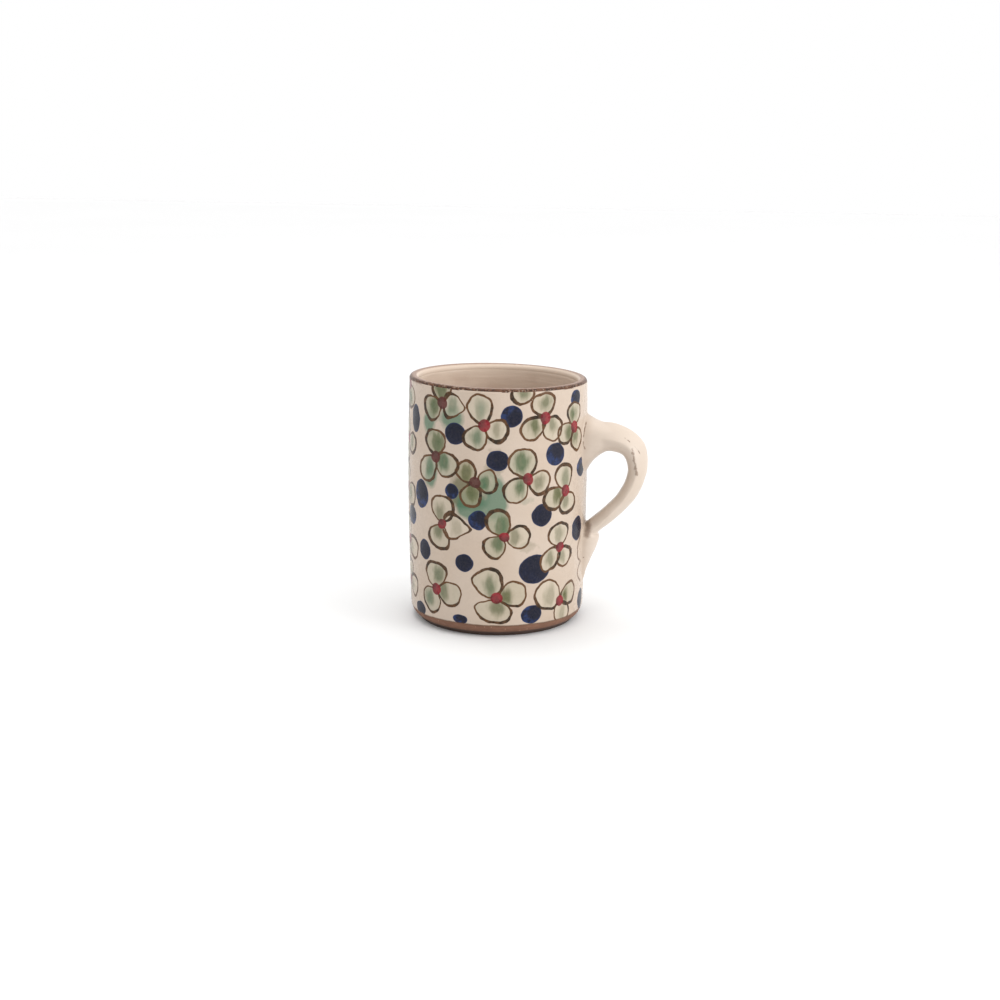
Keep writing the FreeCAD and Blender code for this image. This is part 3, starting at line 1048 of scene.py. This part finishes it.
def clay_material():
    sheet = Sheet(bpy.data.materials.new("bare_clay"))
    place = sheet.place()
    clouds = sheet.step(sheet.noise(place, 6.0, 4.0, 0.6), 0.3, 0.75)
    colour = sheet.mix(clouds, clay_red, srgb(112, 78, 60))
    grog = sheet.specks(place, 1.5, 0.4, 0.3)
    colour = sheet.mix(grog * 0.5, colour, srgb(178, 146, 120))
    dark = sheet.specks(sheet.scaled(place, (1, 1, 1), (0.3, 0.1, 0.2)), 2.3, 0.3, 0.3)
    colour = sheet.mix(dark * 0.6, colour, srgb(60, 40, 32))
    # Painted shade: the clay darkens from 3 mm down and is fully dark below 1.7 mm, where the undercut foot
    # lies in shadow.
    height = sheet.term("Z", "ShaderNodeSeparateXYZ", {0: place})
    undercut_painted_shade = sheet.step(height, 3.0 * MM, 1.7 * MM)
    colour = sheet.mix(undercut_painted_shade * 0.85, colour, srgb(44, 32, 27))
    turned = sheet.bump(sheet.noise(sheet.scaled(place, (0.5, 0.5, 3.0)), 1.6, 3.0), 0.12)
    sandy = sheet.bump(sheet.noise(place, 0.35, 4.0), 0.06, under=turned)
    return sheet.finish(colour, 0.78, sandy, {})


def floor_material():
    sheet = Sheet(bpy.data.materials.new("floor"))
    place = sheet.place()
    colour = sheet.mix(sheet.noise(place, 300.0), (0.79, 0.79, 0.79, 1.0), (0.81, 0.81, 0.81, 1.0))
    matt = sheet.bump(sheet.noise(place, 1.5, 3.0), 0.02)
    return sheet.finish(colour, 0.7, matt, {})


# ---- The pieces of the mug
def dress(piece, material, slot, *nodes):
    piece.data.materials.clear()
    piece.data.materials.append(material)
    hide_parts(*nodes)


def mark_lip_side(piece):
    """1 on the lip's outside, 0 on its top and -1 on its inside, with the brown lying deeper at the back."""
    x, y, _ = read_points(piece).T
    side = (np.hypot(x, y) - (rim_radius - lip_radius)) / lip_radius
    deeper = 0.35 * np.clip(y / rim_radius, 0.0, 1.0) * (side > 0.0)
    Canvas(piece).write("lip_side", "POINT", np.clip(side + deeper, -1.0, 1.0))


def mark_near_lip(piece):
    """1 at the top of the inside wall, fading out below it: where the liner is painted lighter, as painted
    light.
    """
    canvas = Canvas(piece)
    below = rim_line_height - canvas.height
    canvas.write("painted_light_near_lip", "POINT", np.clip(1.0 - below / 5.0, 0.0, 1.0))


def mark_handle_wear_and_shade(piece):
    """How far each vertex is, in millimetres, from the fine lines, the ridge, the crevice and the wall. The
    ridge's distance carries rubbed wear; the crevice's carries painted shade.
    """
    points = read_points(piece)
    canvas = Canvas(piece)
    marks = {"fine_line": fine_lines, "rubbed_ridge": [rubbed_ridge], "lower_crevice_painted_shade": [lower_crevice_painted_shade]}
    for name, lines in marks.items():
        gaps = [distance_to_line(points, np.array(line)) for line in lines]
        canvas.write(name, "POINT", np.minimum.reduce(gaps))
    x, y, z = points.T
    canvas.write("off_wall", "POINT", np.hypot(x, y) - wall_radius(z))


def distance_to_line(points, line):
    """Distance of each point from a line of straight runs."""
    best = np.full(len(points), 1e9)
    for start, end in zip(line, line[1:]):
        run = end - start
        share = np.clip((points - start) @ run / (run @ run), 0.0, 1.0)
        best = np.minimum(best, np.linalg.norm(points - start - share[:, None] * run, axis=1))
    return best


def make_mug():
    dress(make_thrown_clay(), clay_material(), "clay", "clay_cup")
    wall = make_painted_wall()
    paint_wall(wall)
    dress(wall, painted_glaze_material(), "outer_glaze", "outer_glaze")
    liner = make_liner()
    mark_near_lip(liner)
    dress(liner, liner_material(), "liner_glaze", "liner_glaze")
    lip = make_lip_glaze()
    mark_lip_side(lip)
    dress(lip, lip_material(), "rim_glaze", "rim_glaze")
    handle = make_handle_coat()
    mark_handle_wear_and_shade(handle)
    clay_under_it = ("handle_strap", "upper_joint_clay", "lower_joint_clay")
    dress(handle, handle_glaze_material(), "handle_glaze", "handle_glaze", *clay_under_it)


# ---- Floor, light and camera
room_light = 1.0
ceiling_light = 1.75
ceiling_lean = 16.0         # degrees: the ceiling's light hangs over towards the handle
dim_side_light = 0.75       # what is left of the room's light on the side away from the handle


def make_floor():
    size = 3000.0
    corners = [(-size, -size, 0.0), (size, -size, 0.0), (size, size, 0.0), (-size, size, 0.0)]
    floor = make_object("floor", corners, [[0, 1, 2, 3]])
    floor.data.materials.append(floor_material())


def add_light(name, place, size, power, target):
    lamp = bpy.data.lights.new(name, "AREA")
    lamp.shape = "DISK"
    lamp.size = size * MM
    lamp.energy = power
    holder = add_object(name, lamp)
    holder.location = Vector(place) * MM
    point_at(holder, target)


def point_at(holder, target, lean=0.0):
    """Turns a light or camera to face a point, rolled by lean degrees about its own line of sight."""
    facing = (holder.location - target).to_track_quat("Z", "Y")
    roll = Quaternion((0.0, 0.0, 1.0), math.radians(lean))
    holder.rotation_euler = (facing @ roll).to_euler()


def make_light():
    """A white room whose ceiling is a large soft light, with a weak lamp at the right and one overhead."""
    middle = Vector((0.0, 0.0, mug_height / 2.0)) * MM
    add_light("right_lamp", (1150.0, -350.0, 450.0), 700.0, 6.0, middle)
    add_light("top_lamp", (-250.0, 150.0, 1100.0), 500.0, 2.0, middle)
    sheet = Sheet(bpy.data.worlds.new("studio"), "Background")
    direction = sheet.term("Generated", "ShaderNodeTexCoord")
    lean = math.radians(ceiling_lean)
    turn = math.radians(camera_turn)
    overhead = (math.sin(lean) * math.cos(turn), math.sin(lean) * math.sin(turn), math.cos(lean))
    ceiling = facing_share(sheet, direction, overhead, 0.72, 0.90, room_light, ceiling_light)
    away = (-math.cos(turn), -math.sin(turn), 0.0)
    dimming = facing_share(sheet, direction, away, 0.6, 1.0, 1.0, dim_side_light)
    sheet.fill(sheet.shader, {"Color": (1.0, 1.0, 1.0, 1.0), "Strength": ceiling * dimming})
    bpy.context.scene.world = sheet.owner


def facing_share(sheet, direction, towards, start, end, low, high):
    """Low where a direction is turned from an axis, high where it is near it, eased between."""
    along = sheet.term("Value", "ShaderNodeVectorMath", {0: direction, 1: towards}, operation="DOT_PRODUCT")
    return sheet.step(along, start, end, low, high)


def make_camera():
    camera = bpy.data.cameras.new("camera")
    camera.lens = camera_lens
    camera.sensor_width = 36.0
    holder = add_object("camera", camera)
    turn = math.radians(camera_turn)
    rise = math.radians(camera_rise)
    towards = Vector((math.sin(turn) * math.cos(rise), -math.cos(turn) * math.cos(rise), math.sin(rise)))
    aim = Vector(camera_aim) * MM
    holder.location = aim + towards * camera_distance * MM
    point_at(holder, aim, camera_lean)
    bpy.context.scene.camera = holder


make_mug()
make_floor()
make_light()
make_camera()
bpy.context.scene.view_settings.view_transform = "Standard"
